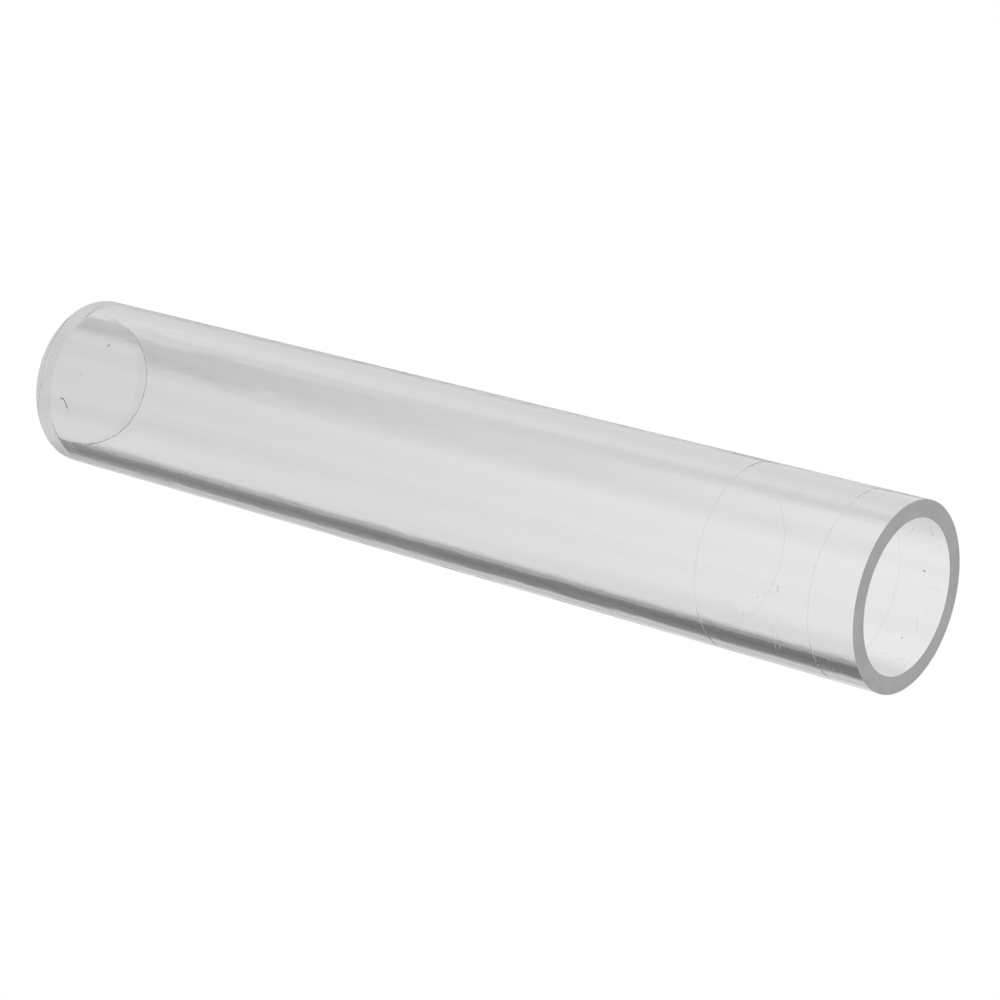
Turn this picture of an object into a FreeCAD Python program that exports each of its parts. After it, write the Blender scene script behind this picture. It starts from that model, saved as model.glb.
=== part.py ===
import FreeCAD, Part
import math
import os

# Clear measuring tube of a manual rain gauge, in millimetres.
# The tube stands upright on its closed end: +Z runs along the axis to the
# open mouth, and the origin is the centre of the closed end's bottom face.

# ---- driving dimensions -------------------------------------------------
TUBE_OD = 32.0            # standard 32 mm clear acrylic tube
WALL = 3.0                # wall of the tube, so the bore is 26 mm
OVERALL_LENGTH = 185.0    # bottom of the base disc to the sawn mouth

BASE_THICKNESS = 2.0      # disc that closes the lower end, same OD as the tube
BASE_EDGE_BREAK = 0.10    # 45 degree break on the disc's lower rim

SEAM_THICKNESS = 0.10     # cured solvent cement between the disc and the tube
SEAM_BEAD = 0.20          # leg of the cement bead squeezed into the inner corner

MOUTH_EDGE_BREAK = 0.12   # deburred edges of the saw-cut mouth, inside and out

RING_UPPER_Z = 175.4      # scored ring in the bore wall, nearer the mouth
RING_LOWER_Z = 153.6      # scored ring in the bore wall, further down
RING_WIDTH = 0.30         # width of each scored V line at the bore's surface
RING_DEPTH = 0.02         # depth of each scored V line

# ---- derived ------------------------------------------------------------
R_OUT = TUBE_OD / 2.0
R_IN = R_OUT - WALL
Z_TUBE = BASE_THICKNESS + SEAM_THICKNESS
Z_TOP = OVERALL_LENGTH

ORIGIN = FreeCAD.Vector(0, 0, 0)
AXIS = FreeCAD.Vector(0, 0, 1)


def vec(r, z):
    return FreeCAD.Vector(r, 0, z)


def revolve(edges):
    """Closed half-profile in the XZ plane, turned once about the Z axis."""
    face = Part.Face(Part.Wire(edges))
    solid = face.revolve(ORIGIN, AXIS, 360)
    if solid.ShapeType != "Solid":
        solid = solid.Solids[0]
    if solid.Volume < 0:
        solid.reverse()
    return solid


def lines(points):
    pts = points + [points[0]]
    return [Part.LineSegment(vec(*a), vec(*b)).toShape() for a, b in zip(pts[:-1], pts[1:])]


def measuring_tube():
    """Straight tube with a sawn mouth and two fine rings scored round its bore."""
    half = RING_WIDTH / 2.0
    e = MOUTH_EDGE_BREAK
    profile = [
        (R_IN, Z_TUBE),
        (R_OUT, Z_TUBE),
        (R_OUT, Z_TOP - e),
        (R_OUT - e, Z_TOP),
        (R_IN + e, Z_TOP),
        (R_IN, Z_TOP - e),
        (R_IN, RING_UPPER_Z + half),
        (R_IN + RING_DEPTH, RING_UPPER_Z),
        (R_IN, RING_UPPER_Z - half),
        (R_IN, RING_LOWER_Z + half),
        (R_IN + RING_DEPTH, RING_LOWER_Z),
        (R_IN, RING_LOWER_Z - half),
    ]
    return revolve(lines(profile))


def base_disc():
    """Flat disc cemented across the lower end; its top face is the tube's floor."""
    b = BASE_EDGE_BREAK
    profile = [
        (0.0, 0.0),
        (R_OUT - b, 0.0),
        (R_OUT, b),
        (R_OUT, BASE_THICKNESS),
        (0.0, BASE_THICKNESS),
    ]
    return revolve(lines(profile))


def cement_seam():
    """Thin film across the butt joint with a concave bead in the inner corner."""
    z0, z1, leg = BASE_THICKNESS, Z_TUBE, SEAM_BEAD
    foot = (R_IN - leg, z0)
    head = (R_IN, z0 + leg)
    # the bead's surface is a quarter circle about the corner's opposite point
    c = (R_IN - leg, z0 + leg)
    mid = (c[0] + leg * math.cos(math.radians(-45)), c[1] + leg * math.sin(math.radians(-45)))
    edges = [
        Part.LineSegment(vec(*foot), vec(R_OUT, z0)).toShape(),
        Part.LineSegment(vec(R_OUT, z0), vec(R_OUT, z1)).toShape(),
        Part.LineSegment(vec(R_OUT, z1), vec(R_IN, z1)).toShape(),
        Part.LineSegment(vec(R_IN, z1), vec(*head)).toShape(),
        Part.Arc(vec(*head), vec(*mid), vec(*foot)).toShape(),
    ]
    return revolve(edges)


NODES = {
    "measuring_tube": measuring_tube,
    "base_disc": base_disc,
    "cement_seam": cement_seam,
}

os.makedirs("parts", exist_ok=True)
for name, make in NODES.items():
    shape = make()
    if not shape.isValid():
        raise RuntimeError(name + " is not a valid solid")
    shape.exportStep("parts/" + name + ".step")
    box = shape.BoundBox
    print("%-16s volume %10.3f mm3  z %.3f to %.3f  r %.3f" % (name, shape.Volume, box.ZMin, box.ZMax, box.XMax))
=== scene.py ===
import random
import math

import bpy
import bmesh
from mathutils import Matrix, Vector


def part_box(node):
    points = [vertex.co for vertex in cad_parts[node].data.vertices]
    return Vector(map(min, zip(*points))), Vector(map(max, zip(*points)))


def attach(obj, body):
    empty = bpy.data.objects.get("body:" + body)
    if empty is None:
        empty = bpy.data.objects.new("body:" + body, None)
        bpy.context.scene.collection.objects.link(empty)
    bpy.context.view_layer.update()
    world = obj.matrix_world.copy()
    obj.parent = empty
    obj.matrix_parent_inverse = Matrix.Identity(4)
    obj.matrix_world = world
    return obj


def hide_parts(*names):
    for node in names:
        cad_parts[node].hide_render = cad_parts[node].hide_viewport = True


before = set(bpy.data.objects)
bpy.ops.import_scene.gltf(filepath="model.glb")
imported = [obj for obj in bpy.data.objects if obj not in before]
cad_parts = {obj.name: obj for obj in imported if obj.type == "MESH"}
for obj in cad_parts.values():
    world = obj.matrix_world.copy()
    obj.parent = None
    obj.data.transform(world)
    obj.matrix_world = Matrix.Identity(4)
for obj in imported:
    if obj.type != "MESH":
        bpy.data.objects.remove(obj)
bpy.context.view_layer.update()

# ---------------------------------------------------------------- sizes, metres
tube_lo, tube_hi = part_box("measuring_tube")
disc_lo, disc_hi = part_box("base_disc")
seam_lo, seam_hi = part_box("cement_seam")
R_OUT = tube_hi.x
R_IN = 0.0130
Z_TOP = tube_hi.z
Z_FLOOR = disc_hi.z            # top of the base disc, the floor of the bore
Z_TUBE = tube_lo.z
RINGS = (0.15360, 0.17540)     # fine rings scored round the bore, lower and upper
RING_HALF = 0.00015
RING_DEEP = 0.00001
LEG = 0.0002                   # leg of the cement bead in the inner corner
AIR = 0.0000015                # daylight between neighbouring pieces
SEG = 288
IOR = 1.491


# ---------------------------------------------------------------- node helpers
def new_mat(name):
    m = bpy.data.materials.new(name)
    m.use_nodes = True
    nt = m.node_tree
    nt.nodes.clear()
    out = nt.nodes.new("ShaderNodeOutputMaterial")
    return m, nt, out


def node(nt, kind, **props):
    n = nt.nodes.new(kind)
    for k, v in props.items():
        setattr(n, k, v)
    return n


def math_node(nt, op, a, b=None, clamp=False):
    n = node(nt, "ShaderNodeMath", operation=op, use_clamp=clamp)
    for i, v in enumerate((a, b)):
        if v is None:
            continue
        if isinstance(v, (int, float)):
            n.inputs[i].default_value = v
        else:
            nt.links.new(v, n.inputs[i])
    return n.outputs[0]


def remap(nt, v, a, b, c, d, smooth=True):
    n = node(nt, "ShaderNodeMapRange")
    n.interpolation_type = "SMOOTHSTEP" if smooth else "LINEAR"
    n.clamp = True
    nt.links.new(v, n.inputs["Value"])
    for s, x in zip(("From Min", "From Max", "To Min", "To Max"), (a, b, c, d)):
        n.inputs[s].default_value = x
    return n.outputs["Result"]


def coords(nt, scale=(1, 1, 1)):
    tc = node(nt, "ShaderNodeTexCoord")
    mp = node(nt, "ShaderNodeMapping")
    mp.inputs["Scale"].default_value = scale
    nt.links.new(tc.outputs["Object"], mp.inputs["Vector"])
    return mp.outputs["Vector"], tc.outputs["Object"]


def noise(nt, vec, scale, detail=3.0, rough=0.55, dist=0.0):
    n = node(nt, "ShaderNodeTexNoise")
    nt.links.new(vec, n.inputs["Vector"])
    n.inputs["Scale"].default_value = scale
    n.inputs["Detail"].default_value = detail
    n.inputs["Roughness"].default_value = rough
    n.inputs["Distortion"].default_value = dist
    return n.outputs["Fac"]


def polar(nt, obj):
    """Angle about the axis (radians), radius and height of the shaded point."""
    sep = node(nt, "ShaderNodeSeparateXYZ")
    nt.links.new(obj, sep.inputs[0])
    ang = math_node(nt, "ARCTAN2", sep.outputs["Y"], sep.outputs["X"])
    rr = math_node(nt, "ADD", math_node(nt, "MULTIPLY", sep.outputs["X"], sep.outputs["X"]),
                   math_node(nt, "MULTIPLY", sep.outputs["Y"], sep.outputs["Y"]))
    return ang, math_node(nt, "SQRT", rr), sep.outputs["Z"]


def principled(nt, out, **vals):
    p = node(nt, "ShaderNodeBsdfPrincipled")
    for k, v in vals.items():
        p.inputs[k].default_value = v
    nt.links.new(p.outputs[0], out.inputs["Surface"])
    return p


# ---------------------------------------------------------------- materials
def clear_plastic(name, wave=1.0):
    """Extruded clear acrylic: draw lines along the axis, a slow wave in the wall, light scuffs."""
    m, nt, out = new_mat(name)
    p = principled(nt, out, **{"Base Color": (1, 1, 1, 1), "IOR": IOR, "Transmission Weight": 1.0, "Roughness": 0.0})
    stretched, obj = coords(nt, (1.0, 1.0, 0.03))
    half, _ = coords(nt, (1.0, 1.0, 0.45))
    lines = noise(nt, stretched, 700.0, 3.0, 0.6)          # draw lines
    broad = noise(nt, half, 120.0, 2.0, 0.5, 0.3)          # slow wave in the wall
    patch = noise(nt, half, 420.0, 3.0, 0.6, 0.5)          # small lumps and handling marks
    scuff = noise(nt, obj, 520.0, 5.0, 0.75, 0.6)
    r = remap(nt, scuff, 0.52, 0.78, 0.006, 0.10)
    nt.links.new(r, p.inputs["Roughness"])
    if wave > 0:
        h = math_node(nt, "ADD", math_node(nt, "MULTIPLY", lines, 0.05),
                      math_node(nt, "ADD", math_node(nt, "MULTIPLY", broad, 0.8), math_node(nt, "MULTIPLY", patch, 0.16)))
        bump = node(nt, "ShaderNodeBump")
        bump.inputs["Strength"].default_value = 0.15 * wave
        bump.inputs["Distance"].default_value = 0.0004
        nt.links.new(h, bump.inputs["Height"])
        nt.links.new(bump.outputs[0], p.inputs["Normal"])
    return m


def sawn_face(name):
    """Saw-cut mouth: matte, evenly frosted, with fine concentric tool marks."""
    m, nt, out = new_mat(name)
    p = principled(nt, out, **{"Base Color": (0.51, 0.51, 0.51, 1), "IOR": IOR, "Roughness": 0.6})
    vec, obj = coords(nt)
    ang, rad, z = polar(nt, obj)
    fine = noise(nt, obj, 2600.0, 3.0, 0.6)
    base = remap(nt, noise(nt, obj, 260.0, 3.0, 0.6), 0.3, 0.7, 0.0, 1.0)
    mix = node(nt, "ShaderNodeMix", data_type="RGBA")
    mix.inputs["A"].default_value = (0.55, 0.55, 0.55, 1)
    mix.inputs["B"].default_value = (0.61, 0.61, 0.61, 1)
    nt.links.new(base, mix.inputs["Factor"])
    nt.links.new(mix.outputs["Result"], p.inputs["Base Color"])
    nt.links.new(remap(nt, fine, 0.3, 0.7, 0.45, 0.7), p.inputs["Roughness"])
    grooves = math_node(nt, "SINE", math_node(nt, "MULTIPLY", rad, 2 * math.pi / 0.00011))
    h = math_node(nt, "ADD", math_node(nt, "MULTIPLY", grooves, 0.3), fine)
    bump = node(nt, "ShaderNodeBump")
    bump.inputs["Strength"].default_value = 0.35
    bump.inputs["Distance"].default_value = 0.00004
    nt.links.new(h, bump.inputs["Height"])
    nt.links.new(bump.outputs[0], p.inputs["Normal"])
    return m


def scored(name):
    """Bottom of a scored line: torn plastic, part clear and part white."""
    m, nt, out = new_mat(name)
    p = principled(nt, out, **{"Base Color": (1.0, 1.0, 1.0, 1), "IOR": IOR, "Roughness": 0.3, "Transmission Weight": 0.9})
    vec, obj = coords(nt)
    nt.links.new(remap(nt, noise(nt, obj, 1800.0, 3.0, 0.6), 0.3, 0.7, 0.06, 0.20), p.inputs["Roughness"])
    return m


def welded(name):
    """Faces melted together by the solvent: light passes as if they were not there."""
    m, nt, out = new_mat(name)
    t = node(nt, "ShaderNodeBsdfTransparent")
    nt.links.new(t.outputs[0], out.inputs["Surface"])
    return m


def cement(name):
    """Cured solvent cement: clear, with an uneven skin."""
    m, nt, out = new_mat(name)
    p = principled(nt, out, **{"Base Color": (1.0, 1.0, 1.0, 1), "IOR": IOR, "Transmission Weight": 1.0, "Roughness": 0.12})
    vec, obj = coords(nt)
    nt.links.new(remap(nt, noise(nt, obj, 700.0, 3.0, 0.6), 0.3, 0.7, 0.06, 0.20), p.inputs["Roughness"])
    return m


def film(name):
    """Edge of the cement film, flush with the outside: faintly cloudy."""
    m, nt, out = new_mat(name)
    p = principled(nt, out, **{"Base Color": (1.0, 1.0, 1.0, 1), "IOR": IOR, "Transmission Weight": 1.0, "Roughness": 0.2})
    vec, obj = coords(nt)
    nt.links.new(remap(nt, noise(nt, obj, 900.0, 3.0, 0.6), 0.3, 0.7, 0.10, 0.30), p.inputs["Roughness"])
    return m


def ink(name):
    """Thin dark grey ink, its tone varying in small patches."""
    m, nt, out = new_mat(name)
    p = principled(nt, out, **{"Base Color": (0.10, 0.10, 0.10, 1), "Roughness": 0.6})
    vec, obj = coords(nt)
    mix = node(nt, "ShaderNodeMix", data_type="RGBA")
    mix.inputs["A"].default_value = (0.05, 0.05, 0.05, 1)
    mix.inputs["B"].default_value = (0.16, 0.16, 0.16, 1)
    nt.links.new(remap(nt, noise(nt, obj, 5200.0, 3.0, 0.6), 0.35, 0.65, 0.0, 1.0), mix.inputs["Factor"])
    nt.links.new(mix.outputs["Result"], p.inputs["Base Color"])
    return m


def thin(nt, out, p, clear):
    """A mark so thin that a share of the light passes straight through it."""
    t = node(nt, "ShaderNodeBsdfTransparent")
    mix = node(nt, "ShaderNodeMixShader")
    mix.inputs[0].default_value = clear
    nt.links.new(p.outputs[0], mix.inputs[1])
    nt.links.new(t.outputs[0], mix.inputs[2])
    nt.links.new(mix.outputs[0], out.inputs["Surface"])


def dust(name, lo, hi, clear=0.0):
    """A fleck or abrasion stuck to the wall."""
    m, nt, out = new_mat(name)
    p = principled(nt, out, **{"Base Color": (hi, hi, hi, 1), "Roughness": 0.8})
    vec, obj = coords(nt)
    mix = node(nt, "ShaderNodeMix", data_type="RGBA")
    mix.inputs["A"].default_value = (lo, lo, lo, 1)
    mix.inputs["B"].default_value = (hi, hi, hi, 1)
    nt.links.new(remap(nt, noise(nt, obj, 4200.0, 3.0, 0.6), 0.35, 0.65, 0.0, 1.0), mix.inputs["Factor"])
    nt.links.new(mix.outputs["Result"], p.inputs["Base Color"])
    if clear:
        thin(nt, out, p, clear)
    return m


def haze(name, tint, rough, clear):
    """A rubbed spot or fine scratch: clear plastic with a torn, cloudy skin."""
    m, nt, out = new_mat(name)
    p = principled(nt, out, **{"Base Color": (tint, tint, tint, 1), "IOR": IOR, "Transmission Weight": 0.85, "Roughness": rough})
    vec, obj = coords(nt)
    nt.links.new(remap(nt, noise(nt, obj, 3000.0, 3.0, 0.6), 0.3, 0.7, rough * 0.7, min(1.0, rough * 1.3)), p.inputs["Roughness"])
    thin(nt, out, p, clear)
    return m


MAT = {
    "clear": clear_plastic("clear_tube_plastic"),
    "disc": clear_plastic("clear_disc_plastic", wave=0.0),
    "sawn": sawn_face("sawn_mouth"),
    "scored": scored("scored_line"),
    "welded": welded("welded_contact"),
    "cement": cement("cured_cement"),
    "film": film("cement_film_edge"),
    "ink": ink("worn_ink"),
    "dark": dust("dark_fleck", 0.38, 0.62, 0.65),
    "white": dust("white_fleck", 0.75, 0.95),
    "haze": haze("rubbed_plastic", 1.0, 0.45, 0.55),
    "smear": haze("grey_smear", 0.95, 0.16, 0.70),
}


# ---------------------------------------------------------------- turned pieces
def lathe(name, rows, mats, sharp=(), seg=SEG):
    """Closed solid of revolution. rows is [(r, z, material of the band after this row)];
    a row with r 0 is a pole. sharp lists the rows whose ring is a hard edge."""
    bm = bmesh.new()
    rings = []
    for r, z, _ in rows:
        if r <= 0:
            rings.append([bm.verts.new((0, 0, z))])
        else:
            rings.append([bm.verts.new((r * math.cos(2 * math.pi * i / seg), r * math.sin(2 * math.pi * i / seg), z))
                          for i in range(seg)])
    slots = []
    for _, _, k in rows:
        if k is not None and k not in slots:
            slots.append(k)
    n = len(rows)
    for j in range(n):
        a, b = rings[j], rings[(j + 1) % n]
        k = rows[j][2]
        if k is None:
            continue
        for i in range(seg):
            i2 = (i + 1) % seg
            if len(a) == 1 and len(b) == 1:
                continue
            if len(a) == 1:
                vs = (a[0], b[i2], b[i])
            elif len(b) == 1:
                vs = (a[i], a[i2], b[0])
            else:
                vs = (a[i], a[i2], b[i2], b[i])
            f = bm.faces.new(vs)
            f.smooth = True
            f.material_index = slots.index(k)
    bm.normal_update()
    for j in sharp:
        ring = rings[j]
        if len(ring) > 1:
            for i in range(seg):
                e = bm.edges.get((ring[i], ring[(i + 1) % seg]))
                if e:
                    e.smooth = False
    bmesh.ops.recalc_face_normals(bm, faces=bm.faces)
    me = bpy.data.meshes.new(name)
    bm.to_mesh(me)
    bm.free()
    ob = bpy.data.objects.new(name, me)
    bpy.context.scene.collection.objects.link(ob)
    for k in slots:
        me.materials.append(MAT[k])
    return ob


def tube_rows():
    """Half profile of the tube, up the outside, over the mouth and down the bore."""
    e = 0.00012
    rows, sharp = [], []

    def row(r, z, k, hard=False):
        if hard:
            sharp.append(len(rows))
        rows.append((r, z, k))

    row(R_IN, Z_TUBE + AIR, "welded", True)
    row(R_OUT, Z_TUBE + AIR, "clear", True)
    for z in (0.02, 0.04, 0.06, 0.08, 0.10, 0.12, 0.14, 0.16):
        row(R_OUT, z, "clear")
    row(R_OUT, Z_TOP - e, "sawn", True)
    row(R_OUT - e, Z_TOP, "sawn", True)
    row(R_IN + e, Z_TOP, "sawn", True)
    row(R_IN, Z_TOP - e, "clear", True)
    for zr in sorted(RINGS, reverse=True):
        row(R_IN, zr + RING_HALF, "scored", True)
        row(R_IN + RING_DEEP, zr, "scored", True)
        row(R_IN, zr - RING_HALF, "clear", True)
    for z in (0.14, 0.12, 0.10, 0.08, 0.06, 0.04, 0.02):
        row(R_IN, z, "clear")
    row(R_IN, Z_FLOOR + LEG, "welded")         # the cement bead starts here
    return rows, sharp


rows, sharp = tube_rows()
tube = lathe("clear_tube", rows, MAT, sharp)
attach(tube, "root"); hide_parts("measuring_tube")

b = 0.00010
disc_rows = [(0, 0, "disc"), (R_OUT - b, 0, "disc"), (R_OUT, b, "disc"), (R_OUT, Z_FLOOR - AIR, "welded"),
             (R_IN - LEG, Z_FLOOR - AIR, "disc"), (0, Z_FLOOR - AIR, None)]
disc = lathe("clear_disc", disc_rows, MAT, sharp=[1, 2, 3, 4])
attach(disc, "root"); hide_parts("base_disc")

# film in the butt joint with a concave bead in the inner corner, index-matched to both pieces
arc = []
cx, cz = R_IN - LEG, Z_FLOOR + LEG
for i in range(0, 11):
    t = math.radians(-90 * i / 10)
    arc.append((cx + LEG * math.cos(t) - AIR * math.cos(t), cz + LEG * math.sin(t) + AIR * math.sin(-t), "cement"))
seam_rows = [(R_OUT, Z_FLOOR, "film"), (R_OUT, Z_TUBE, "welded"), (R_IN - AIR, Z_TUBE, "welded")] + arc
seam_rows[-1] = (arc[-1][0], Z_FLOOR, "welded")
seam = lathe("cement_film", seam_rows, MAT, sharp=[0, 1, 2, 3, len(seam_rows) - 1])
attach(seam, "root"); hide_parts("cement_seam")


# ---------------------------------------------------------------- marks on the walls
def on_wall(s, z, r):
    """Point at s millimetres round a wall of radius r (from +X towards +Y) and z millimetres up."""
    t = s / (r * 1000.0)
    return Vector((r * math.cos(t), r * math.sin(t), z / 1000.0))


def smooth_path(pts, per=6):
    """Catmull-Rom through (degrees, z mm, width mm) points."""
    out = []
    n = len(pts)
    for i in range(n - 1):
        p0, p1, p2, p3 = pts[max(i - 1, 0)], pts[i], pts[i + 1], pts[min(i + 2, n - 1)]
        for k in range(per):
            t = k / per
            out.append(tuple(0.5 * (2 * b1 + (c - a1) * t + (2 * a1 - 5 * b1 + 4 * c - d) * t * t
                                    + (-a1 + 3 * b1 - 3 * c + d) * t ** 3)
                             for a1, b1, c, d in zip(p0, p1, p2, p3)))
    out.append(tuple(pts[-1]))
    return out


def strokes(name, paths, r, out_dir, thick, mat, per=6):
    """Flat strokes with rounded ends that lie on a wall. out_dir is 1 on the outside, -1 in the bore."""
    bm = bmesh.new()
    for pts in paths:
        line = smooth_path(pts, per)
        flat = [(math.radians(a) * r * 1000.0, z, w) for a, z, w in line]
        secs = []
        n = len(flat)
        for i, (sx, z, w) in enumerate(flat):
            a, c = flat[max(i - 1, 0)], flat[min(i + 1, n - 1)]
            dx, dz = c[0] - a[0], c[1] - a[1]
            L = math.hypot(dx, dz) or 1.0
            nx, nz = -dz / L, dx / L
            end = 0.35 if i in (0, n - 1) else 1.0
            h = w * 0.5 * end
            base = r + out_dir * 0.000002
            top = base + out_dir * thick
            secs.append([bm.verts.new(on_wall(sx - nx * h, z - nz * h, base)),
                         bm.verts.new(on_wall(sx + nx * h, z + nz * h, base)),
                         bm.verts.new(on_wall(sx + nx * h * 0.7, z + nz * h * 0.7, top)),
                         bm.verts.new(on_wall(sx - nx * h * 0.7, z - nz * h * 0.7, top))])
        for a, c in zip(secs[:-1], secs[1:]):
            for k in range(4):
                bm.faces.new((a[k], a[(k + 1) % 4], c[(k + 1) % 4], c[k]))
        bm.faces.new(secs[0]); bm.faces.new(secs[-1])
    bmesh.ops.recalc_face_normals(bm, faces=bm.faces)
    me = bpy.data.meshes.new(name)
    bm.to_mesh(me); bm.free()
    ob = bpy.data.objects.new(name, me)
    bpy.context.scene.collection.objects.link(ob)
    me.materials.append(MAT[mat])
    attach(ob, "root")
    return ob


def flecks(name, spots, r, out_dir, thick, mat):
    """Low domes on a wall: (degrees, z mm, radius round the wall mm, radius along it mm)."""
    bm = bmesh.new()
    for a, z, ra, rz in spots:
        s0 = math.radians(a) * r * 1000.0
        base = r + out_dir * 0.000002
        n = 12
        ring = [[bm.verts.new(on_wall(s0 + ra * q * math.cos(2 * math.pi * i / n) * (1 + 0.18 * math.sin(3.1 * i + a)),
                                      z + rz * q * math.sin(2 * math.pi * i / n) * (1 + 0.15 * math.cos(2.3 * i + z)), base + out_dir * h))
                 for i in range(n)] for q, h in ((1.0, 0.0), (0.6, thick * 0.8))]
        top = bm.verts.new(on_wall(s0, z, base + out_dir * thick))
        for i in range(n):
            j = (i + 1) % n
            bm.faces.new((ring[0][i], ring[0][j], ring[1][j], ring[1][i])).smooth = True
            bm.faces.new((ring[1][i], ring[1][j], top)).smooth = True
        bm.faces.new(ring[0])
    bmesh.ops.recalc_face_normals(bm, faces=bm.faces)
    me = bpy.data.meshes.new(name)
    bm.to_mesh(me); bm.free()
    ob = bpy.data.objects.new(name, me)
    bpy.context.scene.collection.objects.link(ob)
    me.materials.append(MAT[mat])
    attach(ob, "root")
    return ob


# a short plain tick of ink near the closed end, no letter or figure
tick = [[(-72.6, 6.75, 0.15), (-72.5, 7.50, 0.20), (-71.0, 8.05, 0.20), (-68.8, 8.45, 0.20), (-66.4, 8.72, 0.20)]]
strokes("ink_mark", tick, R_OUT, 1, 0.000008, "ink")

flecks("dark_flecks", [(-116.7, 14.6, 0.42, 0.34), (-112.0, 2.95, 0.13, 0.10), (-67.9, 167.0, 0.12, 0.10), (-71.3, 168.0, 0.08, 0.09),
                       (-77.3, 169.2, 0.09, 0.11), (-83.4, 172.0, 0.08, 0.06), (-53.9, 171.7, 0.08, 0.10), (-84.4, 160.8, 0.06, 0.06),
                       (-139.9, 174.8, 0.10, 0.08), (-63.5, 98.0, 0.07, 0.05), (-48.0, 131.0, 0.06, 0.05)],
       R_OUT, 1, 0.000010, "dark")
flecks("white_flecks", [(-30.6, 140.3, 0.12, 0.08), (-35.5, 137.5, 0.09, 0.06), (-31.3, 62.4, 0.11, 0.07), (-34.4, 49.3, 0.09, 0.06)],
       R_OUT, 1, 0.000012, "white")
flecks("rubbed_spots", [(-92.1, 11.0, 0.40, 0.30), (-75.5, 170.6, 0.55, 0.30)], R_OUT, 1, 0.000004, "smear")
strokes("outside_scratches", [
    [(-50.0, 169.5, 0.08), (-41.0, 169.4, 0.12), (-31.5, 169.1, 0.12)],
    [(-48.3, 170.4, 0.08), (-40.0, 170.3, 0.11), (-33.4, 170.0, 0.10)],
    [(-60.0, 160.8, 0.05), (-55.8, 162.6, 0.07), (-54.0, 164.6, 0.05)],
], R_OUT, 1, 0.000006, "haze")
strokes("bore_scratches", [
    [(155.9, 182.6, 0.08), (148.0, 182.5, 0.18), (140.7, 182.3, 0.08)],
    [(101.8, 180.1, 0.06), (100.9, 182.0, 0.12), (100.3, 183.7, 0.13)],
    [(79.2, 180.3, 0.07), (73.0, 181.2, 0.13), (67.6, 181.7, 0.07)],
    [(26.0, 181.1, 0.08), (35.6, 181.4, 0.15), (45.1, 182.9, 0.08)],
], R_IN, -1, 0.000004, "smear")
# faint scuffing left by wiping out the mouth, most of it on one side
rnd = random.Random(11)
wipes = []
for i in range(46):
    a, z = rnd.uniform(28.0, 158.0), rnd.uniform(176.4, 183.6)
    da, dz, w = rnd.uniform(3.0, 9.0), rnd.uniform(-0.9, 1.2), rnd.uniform(0.03, 0.07)
    z1, z2 = min(z + dz * 0.55, 184.4), min(z + dz, 184.4)
    wipes.append([(a, z, w * 0.5), (a + da * 0.5, z1, w), (a + da, z2, w * 0.5)])
strokes("bore_wipes", wipes, R_IN, -1, 0.000003, "smear", per=4)
flecks("bore_flecks", [(112.0, 180.15, 0.20, 0.26), (147.4, 178.8, 0.14, 0.12)], R_IN, -1, 0.000006, "dark")
flecks("bore_white_fleck", [(59.7, 179.8, 0.18, 0.14)], R_IN, -1, 0.000006, "white")

# ---------------------------------------------------------------- floor, world, camera
def even_floor():
    m, nt, out = new_mat("pale_floor")
    e = node(nt, "ShaderNodeEmission")
    e.inputs["Color"].default_value = (1, 1, 1, 1)
    e.inputs["Strength"].default_value = 1.0
    nt.links.new(e.outputs[0], out.inputs["Surface"])
    return m


me = bpy.data.meshes.new("floor")
bm = bmesh.new()
bmesh.ops.create_circle(bm, cap_ends=True, segments=96, radius=6.0)
bm.to_mesh(me); bm.free()
floor = bpy.data.objects.new("floor", me)
bpy.context.scene.collection.objects.link(floor)
floor.location.z = -0.00002
me.materials.append(even_floor())
# the clear plastic is lit by the studio below, through a floor that is a light table
floor.visible_transmission = False
floor.visible_glossy = False
floor.visible_diffuse = False
floor.visible_shadow = False

# Studio rig: plain lamps and dark cards round the object, on an even surround.
# Each is (azimuth, half width, soft edge, level 46 degrees down, level 30 degrees down), azimuth in
# degrees with 0 along +Y and 90 along +X. A later one stands in front of an earlier one.
SURROUND = 0.66
RIG = [
    (-98, 24, 22, 0.84, 0.84),     # soft lamp on the left
    (98, 10, 16, 0.80, 0.80),      # soft lamp on the right
    (-139, 9, 8, 0.36, 0.36),      # grey stand, front left
    (132, 3, 13, 0.38, 0.38),      # grey stand, front right
    (180, 4, 20, 0.54, 0.54),      # the camera's side
    (47, 13, 14, 0.22, 0.14),      # dark card behind, on the right
    (1, 4, 9, 0.64, 0.82),         # lamp straight behind
    (-11, 2, 5, 0.38, 0.76),       # gap beside that lamp
]

world = bpy.data.worlds.new("studio")
bpy.context.scene.world = world
world.use_nodes = True
wn = world.node_tree
wn.nodes.clear()
wo = wn.nodes.new("ShaderNodeOutputWorld")
wb = wn.nodes.new("ShaderNodeBackground")
wn.links.new(wb.outputs[0], wo.inputs["Surface"])
wtc = wn.nodes.new("ShaderNodeTexCoord")
wsep = wn.nodes.new("ShaderNodeSeparateXYZ")
wn.links.new(wtc.outputs["Generated"], wsep.inputs[0])
w_az = math_node(wn, "ARCTAN2", wsep.outputs["X"], wsep.outputs["Y"])
w_pos = math_node(wn, "ADD", math_node(wn, "MULTIPLY", w_az, 0.5 / math.pi), 0.5)
w_el = math_node(wn, "MULTIPLY", math_node(wn, "ARCSINE", wsep.outputs["Z"]), 180 / math.pi)


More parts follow.
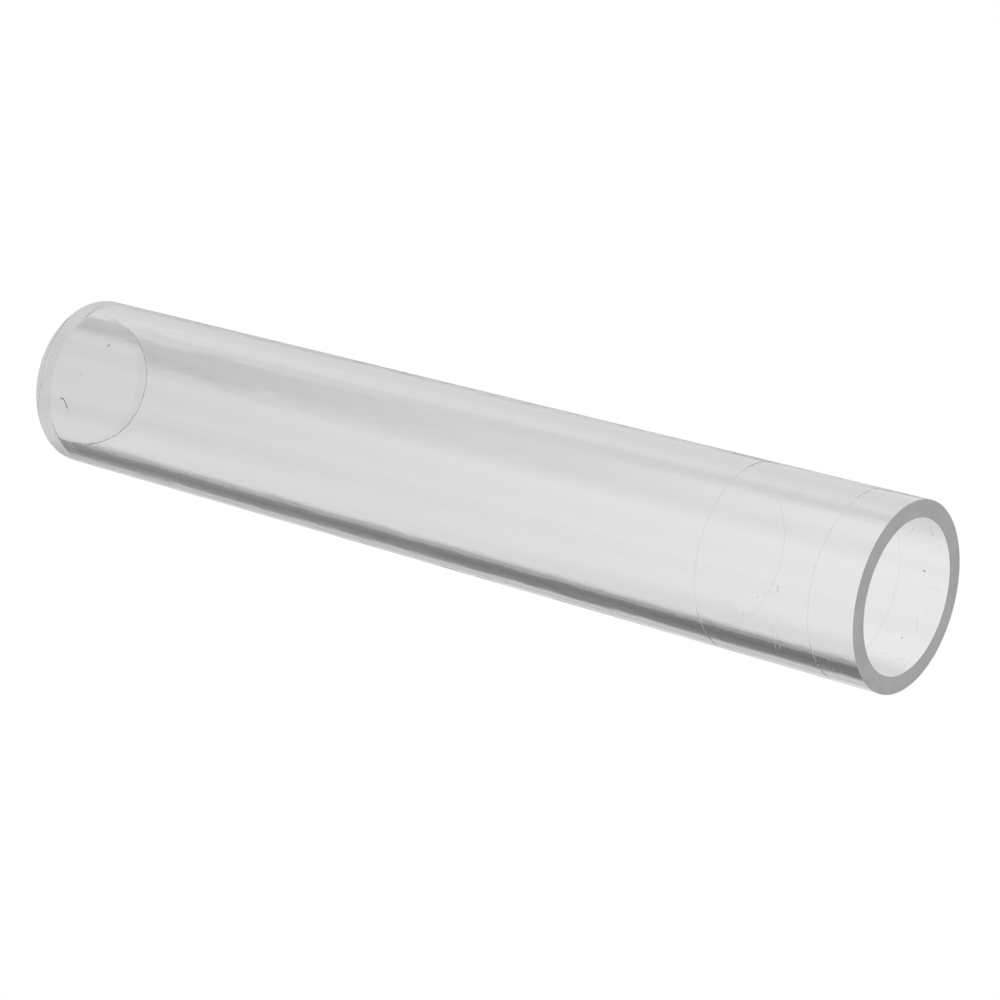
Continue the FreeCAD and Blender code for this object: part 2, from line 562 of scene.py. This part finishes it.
def ramp(nt, fac, stops):
    n = node(nt, "ShaderNodeValToRGB")
    cr = n.color_ramp
    cr.interpolation = "LINEAR"
    while len(cr.elements) < len(stops):
        cr.elements.new(0.5)
    for e, (p, v) in zip(cr.elements, stops):
        e.position = p
        e.color = (v, v, v, 1)
    nt.links.new(fac, n.inputs["Fac"])
    return n.outputs["Color"]


def mix_val(nt, fac, a, b):
    n = node(nt, "ShaderNodeMix", data_type="RGBA")
    nt.links.new(fac, n.inputs["Factor"])
    for s, v in (("A", a), ("B", b)):
        if isinstance(v, (int, float)):
            n.inputs[s].default_value = (v, v, v, 1)
        else:
            nt.links.new(v, n.inputs[s])
    return n.outputs["Result"]


w_deg = math_node(wn, "MULTIPLY", w_az, 180 / math.pi)
lit = SURROUND
for az, half, soft, low, high in RIG:
    away = math_node(wn, "PINGPONG", math_node(wn, "SUBTRACT", w_deg, az), 180.0)
    level = remap(wn, w_el, -46.0, -30.0, low, high, smooth=False)
    lit = mix_val(wn, remap(wn, away, half, half + soft, 1.0, 0.0), lit, level)
sky = mix_val(wn, remap(wn, w_el, 8.0, 34.0, 0.0, 1.0), lit, 0.60)
wlp = wn.nodes.new("ShaderNodeLightPath")
seen = mix_val(wn, wlp.outputs["Is Camera Ray"], sky, 1.0)
wn.links.new(seen, wb.inputs["Color"])
wb.inputs["Strength"].default_value = 1.0

cam_data = bpy.data.cameras.new("camera")
cam = bpy.data.objects.new("camera", cam_data)
bpy.context.scene.collection.objects.link(cam)
cam_data.sensor_width = 36.0
cam_data.lens = 106.956
cam_data.clip_start, cam_data.clip_end = 0.01, 50.0
right = Vector((-0.25716677, 0.5733591, 0.77789755))
down = Vector((0.96636031, 0.14957501, 0.20922493))
fwd = Vector((0.00360698, 0.80553501, -0.5925372))
rot = Matrix((right, -down, -fwd)).transposed()
cam.matrix_world = Matrix.Translation((0.0, -0.420104558, 0.411234462)) @ rot.to_4x4()
bpy.context.scene.camera = cam

sc = bpy.context.scene
sc.view_settings.view_transform = "Standard"
sc.cycles.max_bounces = 32
sc.cycles.transmission_bounces = 32
sc.cycles.transparent_max_bounces = 32
sc.cycles.glossy_bounces = 16
sc.cycles.caustics_refractive = True
sc.cycles.caustics_reflective = True
sc.cycles.sample_clamp_indirect = 10.0
